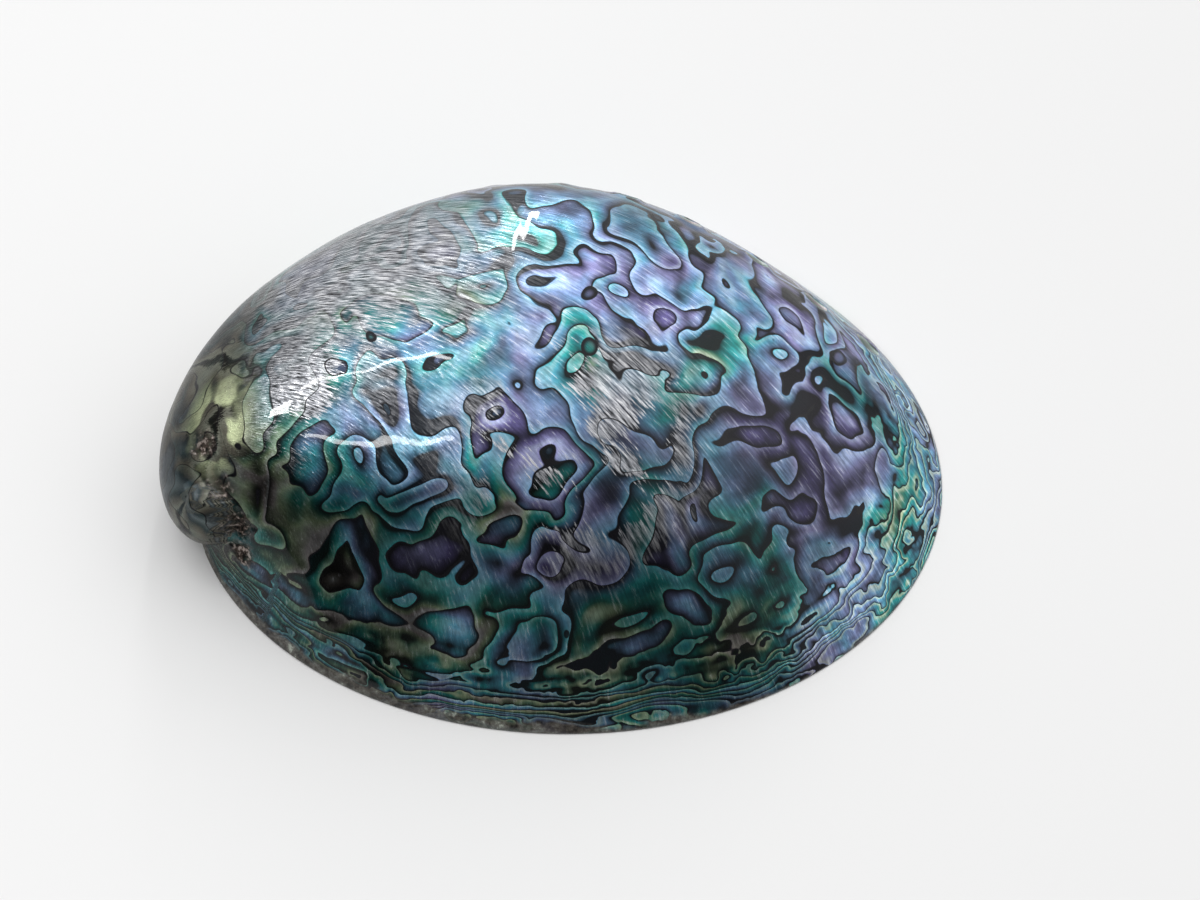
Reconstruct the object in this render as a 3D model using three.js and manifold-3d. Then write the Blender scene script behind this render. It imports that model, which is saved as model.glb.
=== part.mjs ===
// Abalone shell, polished. One piece of shell that grew as a fast-opening spiral: every
// earlier opening is the last one turned about the coiling axis and shrunk towards the apex.
// Millimetres. +X runs from the spire to the growing edge, +Y is the side with the breathing
// holes, +Z is up. The shell lies on its ground rim, mouth down, with the origin on the ground
// at the middle of its outline.
import * as THREE from 'three';
import { ConvexGeometry } from 'three/addons/geometries/ConvexGeometry.js';
import { mergeVertices } from 'three/addons/utils/BufferGeometryUtils.js';
import Module from 'manifold-3d';

// The opening: an ellipse in the plane of the rim. All of the shell is measured from a point
// on the ground right under the apex until it is centred at the end.
const RIM_X = 72;
const RIM_Y = 17.3;
const RIM_LENGTH = 150;
const RIM_WIDTH = 110.6;

// Growth
const APEX_HEIGHT = 22.7;
const AXIS_TILT = THREE.MathUtils.degToRad(48);
const AXIS_HEADING = THREE.MathUtils.degToRad(223.5);
const RATE_BODY = 0.57; // shrinking per radian of turn, in the body whorl
const RATE_SPIRE = 0.3; // the same in the spire
const SPIRE_FROM = 4.2; // radians back from the rim where the spire begins
const SPIRE_EASE = 0.5;

// The far shoulder, under the row of holes, swells outwards and up.
const SWELL_Y = 9.9;
const SWELL_Z = 8.4;
const SWELL_X = 83;
const SWELL_SPREAD = 56;
const SWELL_RISE = 107;
const SWELL_HEIGHT = 30;

// Wall and rim
const WALL = 2.8;
const SHELF_WIDTH = 9; // the flat inner ledge along the near margin
const SHELF_HEIGHT = 3.4;
const OVERRUN = 0.04; // radians of growth past the rim, ground away

// Breathing holes, by angle of turn back from the rim, largest first
const HOLE_TURNS = [0.095, 0.21, 0.335, 0.47, 0.61];
const HOLE_AROUND = THREE.MathUtils.degToRad(22);
const HOLE_WIDTH = 3.6;
const HOLE_LENGTH = 5.6;
const HOLE_SHRINK = 0.5; // how fast older holes are smaller, per radian
const HOLE_SIDES = 12;
const HOLE_DEPTH = 16;

// Facets
const AROUND = 52;
const BODY_STEPS = 22;
const BODY_TURN = 3.3;
const SPIRE_STEPS = 16;
const SPIRE_END = 8.6;
const BIG = 400;

const apex = new THREE.Vector3(0, 0, APEX_HEIGHT);
const axis = new THREE.Vector3(
  Math.sin(AXIS_TILT) * Math.cos(AXIS_HEADING),
  Math.sin(AXIS_TILT) * Math.sin(AXIS_HEADING),
  Math.cos(AXIS_TILT),
);

// Size of the opening when the shell had still to turn by this many radians
function size(turn) {
  const easing = (t) => SPIRE_EASE * Math.log1p(Math.exp((SPIRE_FROM - t) / SPIRE_EASE));
  const eased = (RATE_BODY - RATE_SPIRE) * (easing(turn) - easing(0));
  return Math.exp(-RATE_SPIRE * turn + eased);
}

// Point of the outer surface: `turn` radians back in growth, `around` the opening
function surfacePoint(turn, around) {
  const point = new THREE.Vector3(
    RIM_X + (RIM_LENGTH / 2) * Math.cos(around),
    RIM_Y + (RIM_WIDTH / 2) * Math.sin(around),
    0,
  );
  point.sub(apex).applyAxisAngle(axis, turn).multiplyScalar(size(turn)).add(apex);
  const far = THREE.MathUtils.clamp(point.y / SWELL_RISE, 0, 1);
  const along = (point.x - SWELL_X) / SWELL_SPREAD;
  const swell = Math.exp(-along * along) * far * far * (3 - 2 * far);
  const risen = THREE.MathUtils.clamp(point.z / SWELL_HEIGHT, 0, 1);
  point.y += SWELL_Y * swell;
  point.z += SWELL_Z * swell * risen;
  return point;
}

function surfaceNormal(turn, around) {
  const step = 0.01;
  const grow = surfacePoint(turn + step, around).sub(surfacePoint(turn - step, around));
  const round = surfacePoint(turn, around + step).sub(surfacePoint(turn, around - step));
  return round.cross(grow).normalize();
}

function opening(turn) {
  const points = [];
  for (let i = 0; i < AROUND; i++) points.push(surfacePoint(turn, (2 * Math.PI * i) / AROUND));
  return points;
}

const wasm = await Module();
wasm.setup();

function solid(geometry) {
  geometry.deleteAttribute('normal');
  geometry.deleteAttribute('uv');
  const merged = mergeVertices(geometry, 1e-4);
  const mesh = new wasm.Mesh({
    numProp: 3,
    vertProperties: merged.attributes.position.array,
    triVerts: new Uint32Array(merged.index.array),
  });
  return new wasm.Manifold(mesh);
}

function geometryOf(body) {
  const mesh = body.getMesh();
  const geometry = new THREE.BufferGeometry();
  geometry.setAttribute('position', new THREE.BufferAttribute(mesh.vertProperties, 3));
  geometry.setIndex(new THREE.BufferAttribute(mesh.triVerts, 1));
  return geometry;
}

// Everything that the opening passes through as it turns back along these angles
function swept(turns) {
  let whole = null;
  for (let i = 0; i + 1 < turns.length; i++) {
    const slice = solid(new ConvexGeometry([...opening(turns[i]), ...opening(turns[i + 1])]));
    whole = whole ? whole.add(slice) : slice;
  }
  return whole;
}

function ground() {
  const block = new THREE.BoxGeometry(BIG, BIG, BIG);
  block.translate(0, 0, -BIG / 2);
  return solid(block);
}

// The same body drawn in towards a place on the ground, which leaves a wall all round it
function drawnIn(body, from, wall) {
  const box = new THREE.Box3().setFromBufferAttribute(geometryOf(body).attributes.position);
  const half = box.getSize(new THREE.Vector3()).multiplyScalar(0.5);
  const scale = new THREE.Vector3(1 - wall / half.x, 1 - wall / half.y, 1 - wall / box.max.z);
  const inner = geometryOf(body);
  inner.translate(-from.x, -from.y, 0);
  inner.scale(scale.x, scale.y, scale.z);
  inner.translate(from.x, from.y, 0);
  return solid(inner);
}

function shelf(outer) {
  const block = new THREE.BoxGeometry(BIG, BIG, SHELF_HEIGHT);
  block.translate(0, 0, SHELF_HEIGHT / 2);
  const mouth = new THREE.CylinderGeometry(1, 1, BIG, AROUND);
  mouth.rotateX(Math.PI / 2);
  const near = RIM_Y - RIM_WIDTH / 2 + WALL + SHELF_WIDTH;
  const far = RIM_Y + RIM_WIDTH / 2 + SWELL_Y;
  mouth.scale(RIM_LENGTH / 2, (far - near) / 2, 1);
  mouth.translate(RIM_X, (far + near) / 2, 0);
  return outer.intersect(solid(block)).subtract(solid(mouth));
}

function hole(turn) {
  const drill = new THREE.CylinderGeometry(0.5, 0.5, HOLE_DEPTH, HOLE_SIDES);
  const shrink = Math.exp(-HOLE_SHRINK * turn);
  const out = surfaceNormal(turn, HOLE_AROUND);
  const along = surfacePoint(turn - 0.01, HOLE_AROUND).sub(surfacePoint(turn + 0.01, HOLE_AROUND));
  const side = new THREE.Vector3().crossVectors(along, out).normalize();
  const forward = new THREE.Vector3().crossVectors(out, side);
  drill.scale(HOLE_LENGTH * shrink, 1, HOLE_WIDTH * shrink);
  drill.applyMatrix4(new THREE.Matrix4().makeBasis(forward, out, side));
  const place = surfacePoint(turn, HOLE_AROUND);
  drill.translate(place.x, place.y, place.z);
  return solid(drill);
}

function shell() {
  const bodyTurns = [];
  for (let i = 0; i <= BODY_STEPS; i++) {
    bodyTurns.push(-OVERRUN + (i * (BODY_TURN + OVERRUN)) / BODY_STEPS);
  }
  const spireTurns = [];
  for (let i = 0; i <= SPIRE_STEPS; i++) {
    spireTurns.push(BODY_TURN + (i * (SPIRE_END - BODY_TURN)) / SPIRE_STEPS);
  }
  const earth = ground();
  const body = swept(bodyTurns).subtract(earth);
  const outer = body.add(swept(spireTurns)).subtract(earth);
  const bowl = drawnIn(body, new THREE.Vector3(RIM_X, RIM_Y, 0), WALL);
  let whole = outer.subtract(bowl).add(shelf(outer));
  for (const turn of HOLE_TURNS) whole = whole.subtract(hole(turn));
  return geometryOf(whole);
}

const nacre = new THREE.MeshStandardMaterial({
  name: 'nacre',
  color: 0x4f8f93,
  roughness: 0.18,
  metalness: 0.0,
});

const geometry = shell();
geometry.computeBoundingBox();
const middle = geometry.boundingBox.getCenter(new THREE.Vector3());
geometry.translate(-middle.x, -middle.y, -geometry.boundingBox.min.z);

const piece = new THREE.Mesh(geometry, nacre);
piece.name = 'shell';

const group = new THREE.Group();
group.add(piece);

export default group;
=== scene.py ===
import math
import bpy
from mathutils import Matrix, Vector, noise
from mathutils.bvhtree import BVHTree
from mathutils.interpolate import poly_3d_calc


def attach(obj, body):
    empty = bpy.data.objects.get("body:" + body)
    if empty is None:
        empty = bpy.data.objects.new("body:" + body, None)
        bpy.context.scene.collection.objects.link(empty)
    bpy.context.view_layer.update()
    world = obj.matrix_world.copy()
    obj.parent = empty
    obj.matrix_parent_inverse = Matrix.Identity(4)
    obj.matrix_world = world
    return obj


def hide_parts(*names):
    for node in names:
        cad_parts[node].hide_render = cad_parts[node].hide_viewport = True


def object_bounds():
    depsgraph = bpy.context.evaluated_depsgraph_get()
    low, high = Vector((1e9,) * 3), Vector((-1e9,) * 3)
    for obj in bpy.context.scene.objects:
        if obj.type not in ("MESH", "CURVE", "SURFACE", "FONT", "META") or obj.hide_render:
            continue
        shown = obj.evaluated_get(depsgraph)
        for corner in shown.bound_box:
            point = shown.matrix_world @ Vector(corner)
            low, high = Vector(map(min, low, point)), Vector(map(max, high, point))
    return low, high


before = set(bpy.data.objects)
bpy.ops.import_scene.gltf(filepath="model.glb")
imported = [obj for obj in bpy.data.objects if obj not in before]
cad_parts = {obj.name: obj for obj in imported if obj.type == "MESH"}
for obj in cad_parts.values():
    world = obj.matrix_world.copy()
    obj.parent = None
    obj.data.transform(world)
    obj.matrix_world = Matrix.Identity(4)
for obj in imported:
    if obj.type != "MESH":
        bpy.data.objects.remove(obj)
cad_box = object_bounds()


# The shell: growth of the whorl.
# An abalone adds shell along its whole mouth as it turns, so every earlier mouth is the last one
# turned about the coiling axis and shrunk towards the apex. The growth form is drawn the same
# way: one oval mouth, extruded, shrunk and turned again and again until it ends in the spire.
MM = 0.001
MOUTH_X = 72 * MM
MOUTH_Y = 17.3 * MM
MOUTH_LENGTH = 150 * MM
MOUTH_WIDTH = 110.6 * MM
APEX_HEIGHT = 22.7 * MM
AXIS_TILT = math.radians(48)
AXIS_HEADING = math.radians(223.5)
BODY_RATE = 0.57  # shrinking per radian of turn
SPIRE_RATE = 0.3
SPIRE_FROM = 4.2
SPIRE_EASE = 0.5
OVERRUN = 0.04  # radians of growth past the rim, ground away
ALL_TURNS = 12  # radians, by when the mouth has shrunk to a point
FINENESS = ((0.1, 0.02), (4, 0.035), (ALL_TURNS, 0.09))  # up to each turn, the step of growth
APEX_TO_MIDDLE = Vector((-69.29, -21.04, 0)) * MM
MOUTH_POINTS = 240


def mouth_size(turn):
    ease = [SPIRE_EASE * math.log1p(math.exp((SPIRE_FROM - t) / SPIRE_EASE)) for t in (turn, 0)]
    return math.exp(-SPIRE_RATE * turn + (BODY_RATE - SPIRE_RATE) * (ease[0] - ease[1]))


def turned(angle, axis, about=(0, 0, 0)):
    # With no window the rotate operator turns clockwise, so the angle is given a minus sign.
    bpy.ops.transform.rotate(value=-angle, orient_axis=axis, center_override=about)


bpy.ops.object.select_all(action="DESELECT")
bpy.ops.mesh.primitive_circle_add(vertices=MOUTH_POINTS, radius=1)
growth = bpy.context.object
growth.name = "growth_form"
turns = [-OVERRUN]
while turns[-1] < ALL_TURNS:
    turns.append(turns[-1] + next(step for until, step in FINENESS if turns[-1] < until))
bpy.ops.object.mode_set(mode="EDIT")
bpy.ops.mesh.select_all(action="SELECT")
bpy.ops.transform.resize(value=(MOUTH_LENGTH / 2, MOUTH_WIDTH / 2, 1))
bpy.ops.transform.translate(value=(MOUTH_X, MOUTH_Y, -APEX_HEIGHT))
turned(-AXIS_HEADING, "Z")
turned(-AXIS_TILT, "Y")
first = mouth_size(turns[0])
bpy.ops.transform.resize(value=(first,) * 3, center_override=(0, 0, 0))
turned(turns[0], "Z")
for before, after in zip(turns, turns[1:]):
    shrink = mouth_size(after) / mouth_size(before)
    bpy.ops.mesh.extrude_edges_move()
    bpy.ops.transform.resize(value=(shrink,) * 3, center_override=(0, 0, 0))
    turned(after - before, "Z")
bpy.ops.mesh.select_all(action="SELECT")
turned(AXIS_TILT, "Y")
turned(AXIS_HEADING, "Z")
bpy.ops.transform.translate(value=(0, 0, APEX_HEIGHT))
bpy.ops.object.mode_set(mode="OBJECT")

# The far shoulder of the shell, under the breathing holes, swells outwards and up.
SWELL_Y = 9.9 * MM
SWELL_Z = 8.4 * MM
SWELL_X = 83 * MM
SWELL_SPREAD = 56 * MM
SWELL_RISE = 107 * MM
SWELL_HEIGHT = 30 * MM


def between(low, high, value):
    share = min(max((value - low) / (high - low), 0), 1)
    return share * share * (3 - 2 * share)


for point in growth.data.vertices:
    along = (point.co.x - SWELL_X) / SWELL_SPREAD
    swell = math.exp(-along * along) * between(0, SWELL_RISE, point.co.y)
    risen = min(max(point.co.z / SWELL_HEIGHT, 0), 1)
    point.co += Vector((0, SWELL_Y * swell, SWELL_Z * swell * risen)) + APEX_TO_MIDDLE


# The shell: outer skin.
# The polished outside is one smooth sheet of nacre that follows the outermost whorl. A fine
# dome of square cells is pulled in onto the growth form, so that the older whorls that lie
# inside it are left out, and it is closer meshed over the small coil of the spire.
CELLS = 132
DOME_RADIUS = 0.12
DOME_SKIRT = 0.02
EDGE_EASE = 0.6 * MM  # the ground rim is rounded over by this much
EASE_RINGS = (0.12, 0.4, 1.0)
SPIRE = Vector((-70, -12, 14)) * MM
SPIRE_REACH = 21 * MM
WELD = 0.02 * MM
ROOM = (0.995, 0.996, 0.994)  # the skin is drawn in by this, to leave room for its swellings


def dome(name, cells):
    bpy.ops.object.select_all(action="DESELECT")
    bpy.ops.mesh.primitive_cube_add(size=2 * DOME_RADIUS)
    skin = bpy.context.object
    skin.name = skin.data.name = name
    bpy.ops.object.mode_set(mode="EDIT")
    bpy.ops.mesh.subdivide(number_cuts=cells - 1)
    bpy.ops.transform.tosphere(value=1)
    bpy.ops.mesh.select_all(action="SELECT")
    bpy.ops.mesh.bisect(plane_co=(0, 0, -DOME_SKIRT), plane_no=(0, 0, 1), clear_inner=True)
    bpy.ops.object.mode_set(mode="OBJECT")
    return skin


shell = dome("polished_shell", CELLS)
bpy.ops.object.mode_set(mode="EDIT")
bpy.ops.mesh.select_all(action="DESELECT")
bpy.ops.object.mode_set(mode="OBJECT")
spire_way = SPIRE.normalized()
reach = SPIRE_REACH / SPIRE.length
for face in shell.data.polygons:
    face.select = face.center.normalized().angle(spire_way) < reach
bpy.ops.object.mode_set(mode="EDIT")
bpy.ops.mesh.subdivide(number_cuts=2)
bpy.ops.mesh.select_all(action="SELECT")
bpy.ops.mesh.quads_convert_to_tris()
bpy.ops.object.mode_set(mode="OBJECT")
wrap = shell.modifiers.new("onto_whorl", "SHRINKWRAP")
wrap.target = growth
wrap.wrap_method = "PROJECT"
wrap.use_negative_direction = True
wrap.use_positive_direction = False
wrap.project_limit = DOME_RADIUS
bpy.ops.object.modifier_apply(modifier=wrap.name)


def select_points(mesh, wanted):
    bpy.ops.object.mode_set(mode="EDIT")
    bpy.ops.mesh.select_mode(type="VERT")
    bpy.ops.mesh.select_all(action="DESELECT")
    bpy.ops.object.mode_set(mode="OBJECT")
    for point in mesh.vertices:
        point.select = wanted(point.co)
    bpy.ops.object.mode_set(mode="EDIT")


select_points(shell.data, lambda place: place.length > DOME_RADIUS)
bpy.ops.mesh.delete(type="VERT")
bpy.ops.mesh.select_all(action="SELECT")
bpy.ops.mesh.bisect(plane_co=(0, 0, 0), plane_no=(0, 0, 1), clear_inner=True)
bpy.ops.mesh.select_all(action="DESELECT")
bpy.ops.mesh.select_non_manifold()
bpy.ops.transform.resize(value=(1, 1, 0), center_override=(0, 0, 0))
for share in EASE_RINGS:
    bpy.ops.mesh.select_all(action="SELECT")
    bpy.ops.mesh.bisect(plane_co=(0, 0, share * EDGE_EASE), plane_no=(0, 0, 1))
bpy.ops.mesh.select_all(action="SELECT")
bpy.ops.mesh.remove_doubles(threshold=WELD)
bpy.ops.mesh.select_all(action="SELECT")
bpy.ops.transform.resize(value=ROOM, center_override=(0, 0, 0))
bpy.ops.object.mode_set(mode="OBJECT")

# Each point keeps where it lies in the growth of the shell: how many radians of turn ago it was
# laid down, and where round the mouth. Colours and ridges follow these two.
MOUTH_START = math.radians(215)  # where the count round the mouth begins, in the seam of the coil


def growth_of(index):
    row, place = divmod(index, MOUTH_POINTS)
    round_mouth = math.pi / 2 + 2 * math.pi * place / MOUTH_POINTS
    return Vector((turns[row], (round_mouth - MOUTH_START) % (2 * math.pi), 0))


whorl = BVHTree.FromObject(growth, bpy.context.evaluated_depsgraph_get())
laid = shell.data.attributes.new("growth", "FLOAT_VECTOR", "POINT")
for point in shell.data.vertices:
    spot, _, index, _ = whorl.find_nearest(point.co)
    corners = list(growth.data.polygons[index].vertices)
    values = [growth_of(c) for c in corners]
    for value in values:
        if value.y - values[0].y > math.pi:
            value.y -= 2 * math.pi
        elif values[0].y - value.y > math.pi:
            value.y += 2 * math.pi
    shares = poly_3d_calc([growth.data.vertices[c].co for c in corners], spot)
    laid.data[point.index].vector = sum((v * s for v, s in zip(values, shares)), Vector())

# The outside is ground and polished by hand, so it is smooth but never even. It keeps faint
# swellings along the growth lines, low knobs where old breathing holes closed, and a raised lip
# round each open one. Rough lime has gathered in the seam of the coil.
HOLE_ROUND = math.radians(22) - MOUTH_START + 2 * math.pi
OPEN_HOLES = [0.095, 0.21, 0.335, 0.47, 0.61]
CLOSED_HOLES = [0.77, 0.94, 1.12, 1.31, 1.52, 1.74, 1.98]
HOLE_SHRINK = 0.5  # how much smaller the older holes are, per radian of turn
BEFORE = 0.06  # radians of turn back from a hole to a place that gives the way of the row
LIP_RADIUS = 3.4 * MM
LIP_HEIGHT = 0.45 * MM
LIP_WIDTH = 1.3 * MM
KNOB_RADIUS = 3.6 * MM
KNOB_HEIGHT = 0.55 * MM
WAVE_HEIGHT = 0.16 * MM
WAVE_LONG = 15 * MM
WAVE_SHORT = 5 * MM
GROWTH_HEIGHT = 0.10 * MM
GROWTH_LINES = 11  # swellings along the growth lines, per radian of turn
GROWTH_LENGTH = 50 * MM
OLD_FROM, OLD_BY = 1.2, 1.9  # the turns between which the older whorl loses its growth lines
SEAM_PLACES = ((-65.5, -10, 25), (-62.5, -17, 22), (-60, -23, 18), (-60.5, -26, 12))
SEAM = [Vector(place) * MM for place in SEAM_PLACES]
SEAM_REACH = 4.4 * MM
SEAM_WANDER = 1.1 * MM
LIME_HEIGHT = 0.9 * MM
GRIT_SIZE = 1.1 * MM
RIM_FADE = 1.2 * MM  # the relief dies out over this height, so that the rim stays flat


def place_laid(turn, round_mouth):
    def miss(index):
        value = laid.data[index].vector
        return (value.x - turn) ** 2 + (0.5 * (value.y - round_mouth)) ** 2

    nearest = min(range(len(shell.data.vertices)), key=miss)
    return shell.data.vertices[nearest].co.copy(), shell.data.vertices[nearest].normal.copy()


laid = shell.data.attributes["growth"]
open_places = [(turn, *place_laid(turn, HOLE_ROUND)) for turn in OPEN_HOLES]
before_holes = [place_laid(turn + BEFORE, HOLE_ROUND)[0] for turn in OPEN_HOLES]
closed_places = [(turn, *place_laid(turn, HOLE_ROUND)) for turn in CLOSED_HOLES]
lime = shell.data.attributes.new("lime", "FLOAT", "POINT")
raised = []
for point in shell.data.vertices:
    place = point.co
    turn = laid.data[point.index].vector.x
    wave = noise.noise(place / WAVE_LONG) + 0.35 * noise.noise(place / WAVE_SHORT)
    lines = noise.noise(Vector((turn * GROWTH_LINES, place.x / GROWTH_LENGTH, place.y / GROWTH_LENGTH)))
    height = WAVE_HEIGHT * wave + GROWTH_HEIGHT * lines * between(OLD_BY, OLD_FROM, turn)
    for hole_turn, middle, _ in open_places:
        size = math.exp(-HOLE_SHRINK * hole_turn)
        away = ((place - middle).length / size - LIP_RADIUS) / LIP_WIDTH
        height += LIP_HEIGHT * size * math.exp(-away * away)
    for hole_turn, middle, _ in closed_places:
        size = math.exp(-HOLE_SHRINK * hole_turn)
        away = (place - middle).length / size / KNOB_RADIUS
        height += KNOB_HEIGHT * size * math.exp(-away * away)
    near_seam = min((place - spot).length for spot in SEAM)
    near_seam += SEAM_WANDER * noise.noise(place / (1.7 * MM))
    crust = between(SEAM_REACH, 0.3 * SEAM_REACH, near_seam)
    grit = noise.turbulence(place / GRIT_SIZE, 3, False)
    height += LIME_HEIGHT * crust * (grit - 0.2)
    lime.data[point.index].value = crust
    raised.append(place + point.normal * height * between(0, RIM_FADE, place.z))
for point, place in zip(shell.data.vertices, raised):
    point.co = place


# The shell: inside, rim and breathing holes.
# The wall is about 3 mm of nacre. Along the near margin it turns in as a flat ledge, where the
# animal sat against its coil. The mouth is ground flat, and its edges are eased by polishing.
WALL = 2.8 * MM
LEDGE = 8.5 * MM
LEDGE_DEPTH = 3.2 * MM
RIM_MIDDLE = Vector((2.7, -3.7, 0)) * MM
FLAT = 0.01 * MM  # anything lower than this lies in the ground plane

OUTSIDE, INSIDE, CUT = 0, 1, 2  # where each finish sits in the shell's list of materials
FINISHES = [bpy.data.materials.new(name) for name in ("banded_nacre", "inner_pearl", "cut_edge")]


def rounded_over(height):
    share = min(max(height / EDGE_EASE, 0), 1)
    return EDGE_EASE * (1 - math.sqrt(1 - (1 - share) ** 2))


bpy.ops.object.select_all(action="DESELECT")
shell.select_set(True)
bpy.context.view_layer.objects.active = shell
for finish in FINISHES:
    shell.data.materials.append(finish)
bpy.ops.object.duplicate()
lining = bpy.context.object
lining.name = "lining"
low, high = cad_box
draw_in = Vector((1 - 2 * WALL / (high.x - low.x), 1 - 2 * WALL / (high.y - low.y), 1 - WALL / high.z))
for point in lining.data.vertices:
    place = (point.co - RIM_MIDDLE) * draw_in + RIM_MIDDLE
    outward = (place - RIM_MIDDLE).to_2d().normalized()
    ledge = LEDGE * between(0.15, 0.85, -outward.y)
    ledge *= between(1.6 * LEDGE_DEPTH, 0.6 * LEDGE_DEPTH, place.z)
    point.co = place - outward.to_3d() * (ledge - rounded_over(point.co.z))
for point in shell.data.vertices:
    outward = (point.co - RIM_MIDDLE).to_2d().normalized()
    point.co -= outward.to_3d() * rounded_over(point.co.z)
for skin, finish_number in ((shell, OUTSIDE), (lining, INSIDE)):
    for face in skin.data.polygons:
        face.material_index = finish_number
bpy.ops.object.mode_set(mode="EDIT")
bpy.ops.mesh.select_all(action="SELECT")
bpy.ops.mesh.flip_normals()
bpy.ops.object.mode_set(mode="OBJECT")
shell.select_set(True)
lining.select_set(True)
bpy.context.view_layer.objects.active = shell
bpy.ops.object.join()
bpy.ops.object.mode_set(mode="EDIT")
bpy.ops.mesh.select_mode(type="EDGE")
bpy.ops.mesh.select_all(action="DESELECT")
bpy.ops.mesh.select_non_manifold()
bpy.ops.mesh.bridge_edge_loops(number_cuts=2, interpolation="LINEAR")
bpy.ops.object.mode_set(mode="OBJECT")
for face in shell.data.polygons:
    if face.center.z < FLAT:
        face.material_index = CUT

# The holes are a little flared at both ends, so the cutter is a waisted rod.
HOLE_RADIUS = 2.1 * MM
HOLE_STRETCH = 1.45  # the holes are longer than wide, along the row
HOLE_POINTS = 28
FLARE = ((1.2, 1.03), (1.0, 1.12), (0.9, 1.35), (0.9, 1.8), (1.5, 2.6))  # rise in mm, then width

for (hole_turn, middle, outward), before_hole in zip(open_places, before_holes):
    size = HOLE_RADIUS * math.exp(-HOLE_SHRINK * hole_turn)
    bpy.ops.object.select_all(action="DESELECT")
    bpy.ops.mesh.primitive_circle_add(vertices=HOLE_POINTS, radius=size)
    cutter = bpy.context.object
    for side in (1, -1):
        select_points(cutter.data, lambda place: abs(place.z) < FLAT)
        wide = 1.0
        for rise, flare in FLARE:
            bpy.ops.mesh.extrude_edges_move()
            bpy.ops.transform.translate(value=(0, 0, side * rise * MM))
            bpy.ops.transform.resize(value=(flare / wide, flare / wide, 1), center_override=(0, 0, 0))
            wide = flare
        bpy.ops.mesh.edge_face_add()
    bpy.ops.mesh.select_all(action="SELECT")
    bpy.ops.transform.resize(value=(HOLE_STRETCH, 1, 1), center_override=(0, 0, 0))
    bpy.ops.mesh.normals_make_consistent(inside=False)
    bpy.ops.object.mode_set(mode="OBJECT")
    for finish in FINISHES:
        cutter.data.materials.append(finish)
    for face in cutter.data.polygons:
        face.material_index = CUT
    forward = (middle - before_hole).normalized()
    side_way = outward.cross(forward).normalized()
    forward = side_way.cross(outward).normalized()
    centre = middle - outward * WALL / 2
    for point in cutter.data.vertices:
        point.co = centre + forward * point.co.x + side_way * point.co.y + outward * point.co.z
    drill = shell.modifiers.new("hole", "BOOLEAN")
    drill.operation = "DIFFERENCE"
    drill.object = cutter
    drill.solver = "MANIFOLD"
    bpy.context.view_layer.objects.active = shell
    bpy.ops.object.modifier_apply(modifier=drill.name)
    bpy.data.objects.remove(cutter)
bpy.data.objects.remove(growth)


# The shell: nacre of the outside.
# Grinding cuts through layers of nacre that lie in waves, so each layer shows as a meandering
# band. Dark horny skin between two layers shows as a line, sharp on one side and soft on the
# other. The nacre is silky along the growth, and lies under a clear polish.
def fed(tree, socket, source):
    if isinstance(source, bpy.types.NodeSocket):
        tree.links.new(source, socket)
    elif source is not None:
        socket.default_value = source


def worked(tree, operation, *sources, clamp=False):
    step = tree.nodes.new("ShaderNodeMath")
    step.operation = operation
    step.use_clamp = clamp
    for socket, source in zip(step.inputs, sources):
        fed(tree, socket, source)
    return step.outputs[0]


def moved(tree, operation, *sources):
    step = tree.nodes.new("ShaderNodeVectorMath")
    step.operation = operation
    for socket, source in zip(step.inputs, sources):
        fed(tree, socket, source)
    return step.outputs["Value" if operation in ("LENGTH", "DISTANCE", "DOT_PRODUCT") else "Vector"]


def scaled(tree, vector, amount):
    step = tree.nodes.new("ShaderNodeVectorMath")
    step.operation = "SCALE"
    fed(tree, step.inputs[0], vector)
    fed(tree, step.inputs["Scale"], amount)
    return step.outputs[0]


def cloud(tree, place, scale, detail=2, roughness=0.5, distortion=0, colour=False):
    step = tree.nodes.new("ShaderNodeTexNoise")
    fed(tree, step.inputs["Vector"], place)
    for name, value in (("Scale", scale), ("Detail", detail), ("Roughness", roughness)):
        fed(tree, step.inputs[name], value)
    fed(tree, step.inputs["Distortion"], distortion)
    return step.outputs["Color" if colour else 0]


def eased(tree, value, low, high, from_share=0, to_share=1):
    step = tree.nodes.new("ShaderNodeMapRange")
    step.interpolation_type = "SMOOTHSTEP"
    for socket, source in zip(step.inputs, (value, low, high, from_share, to_share)):
        fed(tree, socket, source)
    return step.outputs[0]


def coloured(tree, share, stops):
    step = tree.nodes.new("ShaderNodeValToRGB")
    fed(tree, step.inputs[0], share)
    while len(step.color_ramp.elements) < len(stops):
        step.color_ramp.elements.new(0.5)
    for element, (place, colour) in zip(step.color_ramp.elements, stops):
        element.position = place
        element.color = (*colour, 1)
    return step.outputs[0]


def blended(tree, share, one, other, way="MIX"):
    step = tree.nodes.new("ShaderNodeMix")
    step.data_type = "RGBA"
    step.blend_type = way
    step.clamp_factor = True
    for name, source in (("Factor_Float", share), ("A_Color", one), ("B_Color", other)):
        socket = next(s for s in step.inputs if s.identifier == name)
        fed(tree, socket, (*source, 1) if isinstance(source, tuple) and len(source) == 3 else source)
    return next(s for s in step.outputs if s.identifier == "Result_Color")


def lifted(tree, height, distance, strength=1.0):
    step = tree.nodes.new("ShaderNodeBump")
    fed(tree, step.inputs["Height"], height)
    step.inputs["Distance"].default_value = distance
    step.inputs["Strength"].default_value = strength
    return step.outputs[0]


def nearness(tree, place, middle, reach):
    away = moved(tree, "DISTANCE", place, tuple(Vector(middle) * MM))
    return eased(tree, away, reach * MM, 0.25 * reach * MM)


def surface_of(finish):
    finish.use_nodes = True
    return finish.node_tree, finish.node_tree.nodes["Principled BSDF"]


def parted(tree, vector):
    step = tree.nodes.new("ShaderNodeSeparateXYZ")
    fed(tree, step.inputs[0], vector)
    return step.outputs


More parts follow.
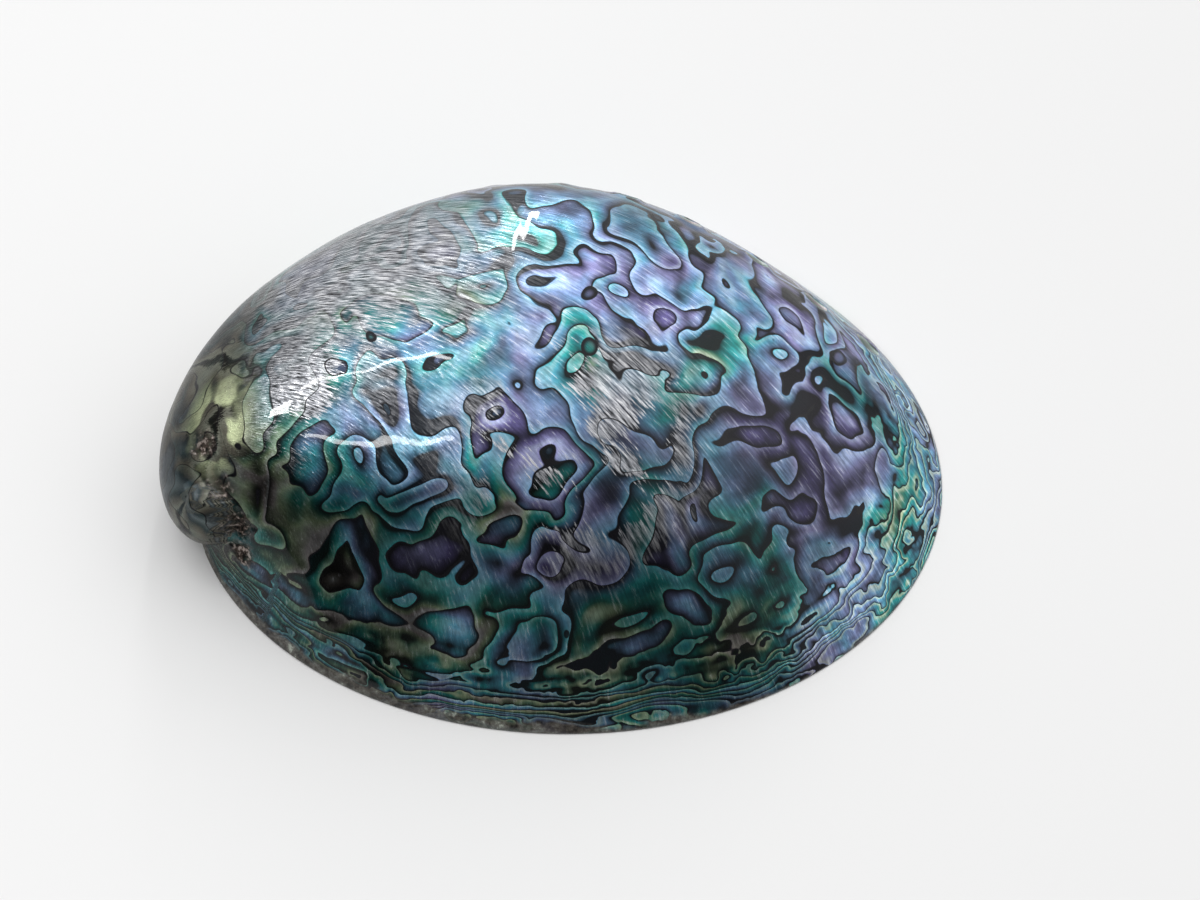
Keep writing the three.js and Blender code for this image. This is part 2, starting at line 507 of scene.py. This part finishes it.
def joined(tree, x, y, z=0.0):
    step = tree.nodes.new("ShaderNodeCombineXYZ")
    for socket, source in zip(step.inputs, (x, y, z)):
        fed(tree, socket, source)
    return step.outputs[0]


def object_place(tree):
    return tree.nodes.new("ShaderNodeTexCoord").outputs["Object"]


def kept_on_points(tree, name):
    step = tree.nodes.new("ShaderNodeAttribute")
    step.attribute_name = name
    return step.outputs


def chained(tree, operation, sources):
    total = sources[0]
    for source in sources[1:]:
        total = worked(tree, operation, total, source)
    return total


def times(tree, *sources):
    return chained(tree, "MULTIPLY", sources)


def summed(tree, *sources):
    return chained(tree, "ADD", sources)


def strongest(tree, *sources):
    return chained(tree, "MAXIMUM", sources)


def rest_of(tree, share):
    return worked(tree, "SUBTRACT", 1.0, share)


def parted_colour(tree, colour):
    step = tree.nodes.new("ShaderNodeSeparateColor")
    fed(tree, step.inputs[0], colour)
    return step.outputs


def grey(tree, share):
    step = tree.nodes.new("ShaderNodeCombineColor")
    for socket in step.inputs:
        fed(tree, socket, share)
    return step.outputs[0]


def times_colour(tree, colour, share):
    return blended(tree, 1.0, colour, grey(tree, share), "MULTIPLY")


HUES = (
    (0.00, (0.150, 0.130, 0.340)),
    (0.13, (0.340, 0.340, 0.640)),
    (0.27, (0.270, 0.430, 0.760)),
    (0.40, (0.150, 0.480, 0.700)),
    (0.52, (0.030, 0.470, 0.480)),
    (0.64, (0.040, 0.330, 0.240)),
    (0.76, (0.420, 0.560, 0.330)),
    (0.87, (0.380, 0.340, 0.330)),
    (1.00, (0.090, 0.080, 0.070)),
)

PATTERN_SHIFT = (1.3, -0.6, 0.2)  # chooses which of the endless patterns the shell has

# Broad patches of the outside: the middle of each on the shell, and how far it reaches, in mm.
# The first three dark patches, on the near, lower side, are partly dark layers and partly painted shade
DARK_MARGIN_WITH_PAINTED_SHADE = (0, -42, 20), 52
DARK_BESIDE_SPIRE_WITH_PAINTED_SHADE = (-50, -36, 14), 56
DARK_NEAR_LIP_WITH_PAINTED_SHADE = (32, -30, 20), 56
DARK_BEHIND_SPIRE = (-59, 7, 29), 15
DIM_CROWN = (-38, 2, 34), 30
LIGHT_LIP = (66, -26, 2), 42
LAVENDER_SIDE = (36, 16, 26), 82
GREEN_MIDDLE = (16, -3, 35), 26
GREEN_BESIDE_SPIRE = (-50, -36, 12), 56
MIXED_MARGIN = (-12, -40, 18), 60
SILVER_SHOULDER = (-36, 24, 36), 42
THREADS_MIDDLE = (4, -13, 34), 33
THREADS_BY_SPIRE = (-44, -2, 36), 20
# A painted highlight along the curve of the old whorl
PAINTED_HIGHLIGHT_ON_WHORL = (-62.5, -7, 30), 13

# Flat colours of the outside, and the colours of threads, old whorl, horny skin and lime from
# the darkest to the palest of each.
BAND_GLOW = (0.62, 0.74, 0.80)
RIM_GLOW = (0.74, 0.76, 0.50)
# White of the palest threads, partly the silk of the nacre and partly a painted sheen
SILK_AND_PAINTED_SHEEN_WHITE = (0.82, 0.84, 0.88)
# The green of the painted highlight on the old whorl
PAINTED_HIGHLIGHT_GREEN = (0.72, 0.80, 0.48)
EYE_BLACK = (0.004, 0.004, 0.006)
LINE_BLACK = (0.0025, 0.0025, 0.004)
THREADS = (
    (0.36, (0.012, 0.012, 0.014)),
    (0.46, (0.16, 0.165, 0.18)),
    (0.54, (0.36, 0.37, 0.40)),
    (0.66, (0.80, 0.80, 0.82)),
)
OLD_WHORL = (
    (0.0, (0.008, 0.007, 0.006)),
    (0.10, (0.012, 0.011, 0.009)),
    (0.16, (0.190, 0.195, 0.155)),
    (0.40, (0.105, 0.096, 0.075)),
    (0.65, (0.022, 0.028, 0.030)),
    (1.0, (0.110, 0.130, 0.135)),
)
HORNY_SKIN = (
    (0.30, (0.008, 0.007, 0.006)),
    (0.48, (0.085, 0.075, 0.065)),
    (0.60, (0.17, 0.17, 0.15)),
    (0.70, (0.48, 0.52, 0.45)),
)
LIME = (
    (0.42, (0.008, 0.007, 0.006)),
    (0.54, (0.08, 0.06, 0.05)),
    (0.66, (0.50, 0.43, 0.39)),
)

tree, nacre = surface_of(FINISHES[OUTSIDE])
place = object_place(tree)
turn, round_mouth, _ = parted(tree, kept_on_points(tree, "growth")["Vector"])
along, across, up = parted(tree, place)

# Layers: how many have been cut through at each point. On the dome they lie in waves, and
# towards the rim they run along it.
LAYER_SIZES = 42, 104  # of the broad waves and the small ones, as noise scales
LAYER_COUNTS = 7.0, 4.3
RIM_LAYERS = 12.0
RIM_LINES = 7.5
bend = moved(tree, "SUBTRACT", cloud(tree, place, 60, 1.5, colour=True), (0.5, 0.5, 0.5))
wavy = moved(tree, "ADD", moved(tree, "ADD", place, PATTERN_SHIFT), scaled(tree, bend, 0.014))
broad = cloud(tree, wavy, LAYER_SIZES[0], 1.0, 0.4)
small = cloud(tree, wavy, LAYER_SIZES[1], 1.2, 0.45)
dome_layers = summed(tree, times(tree, broad, LAYER_COUNTS[0]), times(tree, small, LAYER_COUNTS[1]))
rim_wander = times(tree, cloud(tree, place, 90, 3.0, 0.55), 0.016)
rim_place = joined(tree, times(tree, round_mouth, 0.026), times(tree, up, 2.0), rim_wander)
rim_layers = times(tree, cloud(tree, rim_place, 110, 1.5, 0.5), RIM_LAYERS)
edge = eased(tree, up, 17 * MM, 4 * MM)
rim_lines = times(tree, eased(tree, up, 10 * MM, -2 * MM), RIM_LINES)
layers = summed(
    tree, times(tree, dome_layers, rest_of(tree, edge)), times(tree, rim_layers, edge), rim_lines)
into_layer = worked(tree, "FRACT", layers)
chance = tree.nodes.new("ShaderNodeTexWhiteNoise")
chance.noise_dimensions = "1D"
fed(tree, chance.inputs["W"], worked(tree, "FLOOR", layers))
chances = parted_colour(tree, chance.outputs["Color"])

# Silk: fine threads that run along the growth
SILK_ROUND = 115.0
SILK_ALONG = 17.0
silk_place = joined(
    tree, times(tree, round_mouth, SILK_ROUND), times(tree, turn, SILK_ALONG), times(tree, small, 5.0))
silk = cloud(tree, silk_place, 1.0, 3.0, 0.65)
pearly = cloud(tree, place, 320, 3.0, 0.6)

# Where the shell is bright and where it is dark: dark layers, with painted shade on the near, lower side
dark_layers_and_painted_shade = strongest(
    tree,
    times(tree, nearness(tree, place, *DARK_MARGIN_WITH_PAINTED_SHADE), 0.6),
    nearness(tree, place, *DARK_BESIDE_SPIRE_WITH_PAINTED_SHADE),
    nearness(tree, place, *DARK_NEAR_LIP_WITH_PAINTED_SHADE),
    times(tree, nearness(tree, place, *DIM_CROWN), 0.5),
    eased(tree, turn, 1.5, 2.1),
    times(tree, nearness(tree, place, *DARK_BEHIND_SPIRE), 0.8),
    eased(tree, cloud(tree, place, 28, 1.0), 0.40, 0.72, 0.0, 0.55))
edge_light = times(tree, nearness(tree, place, *LIGHT_LIP), eased(tree, up, 13 * MM, 8 * MM))
dark_layers_and_painted_shade = times(tree, dark_layers_and_painted_shade, rest_of(tree, times(tree, edge_light, 0.9)))
dark_width = eased(tree, cloud(tree, place, 70, 1.0), 0.46, 0.70, 0.04, 0.46)
depth = worked(tree, "DIVIDE", into_layer, rest_of(tree, dark_width), clamp=True)
shade = worked(tree, "POWER", rest_of(tree, depth), eased(tree, dark_layers_and_painted_shade, 0.0, 1.0, 0.60, 1.25))
glow = times(
    tree, eased(tree, into_layer, 0.02, 0.12), eased(tree, into_layer, 0.45, 0.12),
    rest_of(tree, times(tree, dark_layers_and_painted_shade, 0.6)))

# Silver comes where the grinding cuts the threads across, mostly on the far shoulder
silver_patches = summed(tree, cloud(tree, wavy, 52, 2.0), times(tree, silk, 0.35))
silver = times(
    tree, nearness(tree, place, *SILVER_SHOULDER), eased(tree, silver_patches, 0.46, 0.60),
    rest_of(tree, eased(tree, turn, 1.9, 2.3)))

# Colour of the layers, which turns slowly along each one
hue = summed(
    tree, times(tree, cloud(tree, wavy, 50, 2.5, 0.6), 1.75), times(tree, chances[0], 0.20),
    times(tree, into_layer, -0.16), -0.44)
hue = summed(
    tree, hue, times(tree, nearness(tree, place, *LAVENDER_SIDE), -0.25), times(tree, edge_light, 0.09),
    times(tree, nearness(tree, place, *GREEN_MIDDLE), 0.26))
hue = summed(tree, hue, times(tree, nearness(tree, place, *GREEN_BESIDE_SPIRE), 0.14))
mixed = times(
    tree, nearness(tree, place, *MIXED_MARGIN), eased(tree, chances[2], 0.25, 0.75, -0.22, 0.16))
hue = worked(tree, "ADD", hue, mixed, clamp=True)
tint = coloured(tree, hue, HUES)
glow_colour = blended(tree, edge, BAND_GLOW, RIM_GLOW)
tint = blended(tree, times(tree, glow, eased(tree, edge, 0.0, 1.0, 0.35, 0.6)), tint, glow_colour)
# The nacre's lightness, which also carries the painted shade on the near, lower side
light = times(
    tree, shade,
    eased(tree, dark_layers_and_painted_shade, 0.0, 1.0, 1.12, 0.42),
    eased(tree, silk, 0.32, 0.68, 0.70, 1.30),
    eased(tree, pearly, 0.30, 0.70, 0.75, 1.25),
    eased(tree, chances[1], 0.0, 1.0, 0.70, 1.25))
nacre_colour = times_colour(tree, tint, worked(tree, "ADD", light, 0.012))
# The palest threads are lifted towards white: partly the nacre's silk, partly a painted sheen, strongest
# where the nacre is lightest
white_silk_and_painted_sheen = times(tree, eased(tree, silk, 0.56, 0.72), light, 0.55)
nacre_colour = blended(tree, white_silk_and_painted_sheen, nacre_colour, SILK_AND_PAINTED_SHEEN_WHITE)

# Threads of silver and dark, which also show in patches on the crown
thread_patches = summed(tree, cloud(tree, place, 72, 1.5, 0.5), times(tree, silk, 0.35))
thread_share = times(
    tree,
    strongest(tree, nearness(tree, place, *THREADS_MIDDLE), nearness(tree, place, *THREADS_BY_SPIRE)),
    eased(tree, thread_patches, 0.69, 0.75))
thread_share = times(tree, strongest(tree, silver, thread_share), 0.92)
nacre_colour = blended(tree, thread_share, nacre_colour, coloured(tree, silk, THREADS))

# The old whorl is olive and grey, with one strip of bright green that is a painted highlight, a lamp's
# reflection on its curve
old = eased(tree, turn, 1.75, 2.15)
whorl_hue = summed(
    tree, times(tree, turn, 0.9), times(tree, cloud(tree, wavy, 62, 2.0), 3.2), times(tree, silk, 0.5))
whorl_colour = coloured(tree, worked(tree, "PINGPONG", whorl_hue, 1.0), OLD_WHORL)
painted_highlight_strip = times(
    tree, nearness(tree, place, *PAINTED_HIGHLIGHT_ON_WHORL), eased(tree, cloud(tree, wavy, 150, 1.0), 0.42, 0.52),
    eased(tree, pearly, 0.3, 0.6, 0.55, 1.0))
whorl_colour = blended(tree, painted_highlight_strip, whorl_colour, PAINTED_HIGHLIGHT_GREEN)
nacre_colour = blended(tree, times(tree, old, 0.9), nacre_colour, whorl_colour)

# Small dark eyes, each with a pale core, where a layer was domed
EYE_SPACING = 78
islands = tree.nodes.new("ShaderNodeTexVoronoi")
fed(tree, islands.inputs["Vector"], wavy)
islands.inputs["Scale"].default_value = EYE_SPACING
island_rank = parted_colour(tree, islands.outputs["Color"])[0]
island_size = eased(tree, island_rank, 0.45, 1.0, 0.0, 0.21)
eye_edge = worked(tree, "SUBTRACT", island_size, islands.outputs["Distance"])
eye = times(tree, eased(tree, eye_edge, 0.0, 0.02), rest_of(tree, strongest(tree, edge, old)))
eye_core = eased(tree, eye_edge, 0.05, 0.14)
eye_colour = blended(tree, eye_core, EYE_BLACK, times_colour(tree, tint, 0.35))
nacre_colour = blended(tree, eye, nacre_colour, eye_colour)

# The dark skin between the layers, fine on the silver part
line = strongest(
    tree, eased(tree, into_layer, 0.025, 0.055, 1.0, 0.0), eased(tree, into_layer, 0.965, 0.99))
line = times(tree, line, rest_of(tree, times(tree, silver, 0.8)))
nacre_colour = blended(tree, line, nacre_colour, LINE_BLACK)

# The last few millimetres at the rim are brown horny skin with flecks of nacre
thinner = times(tree, eased(tree, along, -10 * MM, 60 * MM), 2.2 * MM)
skin_height = summed(tree, up, times(tree, small, 3 * MM), thinner)
skin_share = times(tree, eased(tree, skin_height, 4.3 * MM, 3.1 * MM), 0.92)
skin_colour = coloured(tree, cloud(tree, place, 520, 4.0, 0.7), HORNY_SKIN)
nacre_colour = blended(tree, skin_share, nacre_colour, skin_colour)

# Lime in the seam
limed = kept_on_points(tree, "lime")["Fac"]
grit = cloud(tree, place, 900, 3.0, 0.6)
nacre_colour = blended(tree, limed, nacre_colour, coloured(tree, grit, LIME))
fed(tree, nacre.inputs["Base Color"], nacre_colour)

# The gloss: half-metallic nacre under clear polish, which is thin on the old whorl and stops at
# the lime
metal = times(tree, rest_of(tree, limed), rest_of(tree, line), rest_of(tree, skin_share), 0.7)
fed(tree, nacre.inputs["Metallic"], metal)
rough = strongest(tree, eased(tree, silk, 0.3, 0.7, 0.40, 0.24), times(tree, limed, 0.75))
fed(tree, nacre.inputs["Roughness"], rough)
relief = summed(tree, silk, times(tree, into_layer, 0.6), times(tree, grit, limed, 3.0))
fed(tree, nacre.inputs["Normal"], lifted(tree, relief, 0.10 * MM, 0.6))
polish = times(tree, eased(tree, limed, 0.0, 1.0, 0.6, 0.08), rest_of(tree, times(tree, old, 0.55)))
fed(tree, nacre.inputs["Coat Weight"], polish)
nacre.inputs["Coat Roughness"].default_value = 0.03
nacre.inputs["Coat IOR"].default_value = 1.42
nacre.inputs["Specular Tint"].default_value = (0.45, 0.45, 0.45, 1)
nacre.inputs["Specular IOR Level"].default_value = 0.12
fed(tree, nacre.inputs["Coat Normal"], lifted(tree, cloud(tree, place, 90, 1.0), 0.30 * MM, 0.25))


# The shell: nacre of the inside.
# The inside is never ground: it is soft pearl in bands of green, blue and pink, with a rough
# oval scar in the middle where the foot muscle was fixed.
MUSCLE_SCAR = (8, 4, 34), 40  # its middle, and how far it reaches, in mm
PEARL_WHITE = (0.80, 0.84, 0.84)
PEARL = (
    (0.00, (0.10, 0.36, 0.36)),
    (0.22, (0.26, 0.60, 0.46)),
    (0.40, (0.56, 0.64, 0.50)),
    (0.56, (0.66, 0.46, 0.52)),
    (0.72, (0.34, 0.32, 0.62)),
    (0.86, (0.14, 0.40, 0.62)),
    (1.00, (0.10, 0.52, 0.44)),
)
SCAR = (
    (0.34, (0.04, 0.13, 0.11)),
    (0.50, (0.16, 0.40, 0.30)),
    (0.60, (0.38, 0.50, 0.34)),
    (0.72, (0.60, 0.62, 0.52)),
)

tree, lining_nacre = surface_of(FINISHES[INSIDE])
place = object_place(tree)
laid_down = kept_on_points(tree, "growth")["Vector"]
turn, round_mouth, _ = parted(tree, laid_down)
bend = moved(tree, "SUBTRACT", cloud(tree, place, 35, 2.0, colour=True), (0.5, 0.5, 0.5))
wavy = moved(tree, "ADD", place, scaled(tree, bend, 0.022))
swirl = summed(tree, times(tree, turn, 1.3), times(tree, cloud(tree, wavy, 26, 2.5, 0.55), 3.4))
pearl_colour = coloured(tree, worked(tree, "PINGPONG", swirl, 1.0), PEARL)
silk_place = joined(tree, times(tree, round_mouth, 60.0), times(tree, turn, 9.0))
silk = cloud(tree, silk_place, 1.0, 3.0, 0.6)
pearl_colour = blended(tree, eased(tree, silk, 0.35, 0.7, 0.0, 0.35), pearl_colour, PEARL_WHITE)
scar_wander = moved(tree, "ADD", place, scaled(tree, bend, 0.045))
scar = eased(tree, nearness(tree, scar_wander, *MUSCLE_SCAR), 0.22, 0.55)
scar_grain = cloud(tree, place, 240, 4.0, 0.65)
scar_colour = coloured(tree, scar_grain, SCAR)
pearl_colour = blended(tree, times(tree, scar, 0.85), pearl_colour, scar_colour)
fed(tree, lining_nacre.inputs["Base Color"], pearl_colour)
lining_nacre.inputs["Metallic"].default_value = 0.5
fed(tree, lining_nacre.inputs["Roughness"], eased(tree, cloud(tree, place, 90, 3.0), 0.3, 0.7, 0.18, 0.34))
growth_lines = times(tree, cloud(tree, laid_down, 26, 2.0), 0.25)
relief = summed(tree, times(tree, scar_grain, scar, 1.6), cloud(tree, place, 60, 3.0), growth_lines)
fed(tree, lining_nacre.inputs["Normal"], lifted(tree, relief, 0.6 * MM, 0.6))
lining_nacre.inputs["Coat Weight"].default_value = 0.35
lining_nacre.inputs["Coat Roughness"].default_value = 0.14


# The shell: cut edges.
# The ground rim and the walls of the holes show the layers edge on: pale nacre in fine lines,
# under brown horny skin.
RIM_REACH = (0.077, 0.0575, 0.077)
HORNY_BROWN = (0.055, 0.045, 0.036)
EDGE_ON = (
    (0.30, (0.035, 0.04, 0.036)),
    (0.42, (0.16, 0.24, 0.21)),
    (0.50, (0.40, 0.50, 0.46)),
    (0.58, (0.50, 0.42, 0.44)),
    (0.68, (0.72, 0.74, 0.70)),
)

tree, cut_surface = surface_of(FINISHES[CUT])
place = object_place(tree)
along, across, _ = parted(tree, place)
from_middle = moved(tree, "SUBTRACT", place, tuple(RIM_MIDDLE))
ring = moved(tree, "LENGTH", moved(tree, "DIVIDE", from_middle, RIM_REACH))
edge_on = joined(tree, times(tree, ring, 70.0), times(tree, along, 26.0), times(tree, across, 26.0))
grain = cloud(tree, edge_on, 1.0, 3.0, 0.6)
horny = eased(tree, summed(tree, ring, times(tree, grain, 0.03)), 0.985, 1.005)
cut_colour = blended(tree, horny, coloured(tree, grain, EDGE_ON), HORNY_BROWN)
fed(tree, cut_surface.inputs["Base Color"], cut_colour)
cut_surface.inputs["Metallic"].default_value = 0.2
fed(tree, cut_surface.inputs["Roughness"], eased(tree, grain, 0.3, 0.7, 0.55, 0.32))
fed(tree, cut_surface.inputs["Normal"], lifted(tree, grain, 0.15 * MM, 0.6))
cut_surface.inputs["Coat Weight"].default_value = 0.5
cut_surface.inputs["Coat Roughness"].default_value = 0.15

for face in shell.data.polygons:
    face.use_smooth = True

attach(shell, "root")
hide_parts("shell")


# The studio: a pale floor under a wide soft sky that is brightest behind the shell. Four narrow
# soft lamps above show as bright lines in the polish. The camera is above the near rim.
FLOOR_SIZE = 6
SKY_DIM = 0.07
SKY_PATCHES = (  # azimuth and elevation, where it is full and where it ends, in degrees; brightness
    (85, 48, 10, 75, 1.35),
    (175, 62, 18, 32, 0.10),
    (-5, 22, 8, 50, 0.9),
    (-90, 25, 8, 38, 0.14),
)
LAMPS = (  # name, azimuth and elevation in degrees, width and height in metres, watts, roll
    ("window_edge_back", 150, 67, 0.022, 0.55, 1.3, 35),
    ("window_edge_front", -140, 65, 0.032, 0.55, 1.3, -40),
    ("window_left", 178, 50, 0.075, 0.07, 0.8, 0),
    ("back_strip", 87, 28, 0.025, 0.42, 1.2, 0),
)
LAMPS_AROUND = Vector((0, 0, 30)) * MM  # the lamps are a metre from here, and face it

bpy.ops.object.select_all(action="DESELECT")
bpy.ops.mesh.primitive_plane_add(size=FLOOR_SIZE, location=(0, 0, 0))
floor = bpy.context.object
floor.name = "floor"
floor_finish = bpy.data.materials.new("pale_floor")
tree, floor_surface = surface_of(floor_finish)
floor_surface.inputs["Base Color"].default_value = (0.80, 0.80, 0.80, 1)
floor_surface.inputs["Roughness"].default_value = 0.8
floor_surface.inputs["Specular IOR Level"].default_value = 0.2
floor.data.materials.append(floor_finish)


def towards(azimuth, elevation):
    azimuth, elevation = math.radians(azimuth), math.radians(elevation)
    flat = math.cos(elevation)
    return Vector((math.cos(azimuth) * flat, math.sin(azimuth) * flat, math.sin(elevation)))


def sky_patch(tree, way, azimuth, elevation, inner, outer, brightness):
    facing = moved(tree, "DOT_PRODUCT", way, tuple(towards(azimuth, elevation)))
    ends = [math.cos(math.radians(angle)) for angle in (outer, inner)]
    return eased(tree, facing, *ends, 0.0, brightness)


world = bpy.data.worlds.new("studio")
world.use_nodes = True
bpy.context.scene.world = world
tree = world.node_tree
way = tree.nodes.new("ShaderNodeTexCoord").outputs["Generated"]
strength = summed(tree, SKY_DIM, *(sky_patch(tree, way, *patch) for patch in SKY_PATCHES))
tree.nodes["Background"].inputs["Color"].default_value = (1, 1, 1, 1)
fed(tree, tree.nodes["Background"].inputs["Strength"], strength)

for name, azimuth, elevation, width, height, watts, roll in LAMPS:
    light = bpy.data.lights.new(name, "AREA")
    light.shape = "RECTANGLE"
    light.size, light.size_y, light.energy = width, height, watts
    lamp = bpy.data.objects.new(name, light)
    bpy.context.collection.objects.link(lamp)
    way = towards(azimuth, elevation)
    lamp.location = way + LAMPS_AROUND
    lamp.rotation_euler = way.to_track_quat("Z", "Y").to_euler()
    lamp.rotation_euler.rotate_axis("Z", math.radians(roll))

bpy.context.scene.view_settings.view_transform = "Standard"

VIEW_HEIGHT = math.radians(60.7)
VIEW_DISTANCE = 0.6
VIEW_LENS = 92.6
VIEW_SHIFT = 0.0267, -0.0048
aim = Vector((2.7, -3.7, 15)) * MM
camera_data = bpy.data.cameras.new("camera")
camera_data.lens = VIEW_LENS
camera_data.sensor_width = 36
camera_data.shift_x, camera_data.shift_y = VIEW_SHIFT
camera_data.clip_start = 0.01
camera = bpy.data.objects.new("camera", camera_data)
bpy.context.collection.objects.link(camera)
camera.location = aim + Vector((0, -math.cos(VIEW_HEIGHT), math.sin(VIEW_HEIGHT))) * VIEW_DISTANCE
camera.rotation_euler = (aim - camera.location).to_track_quat("-Z", "Y").to_euler()
bpy.context.scene.camera = camera
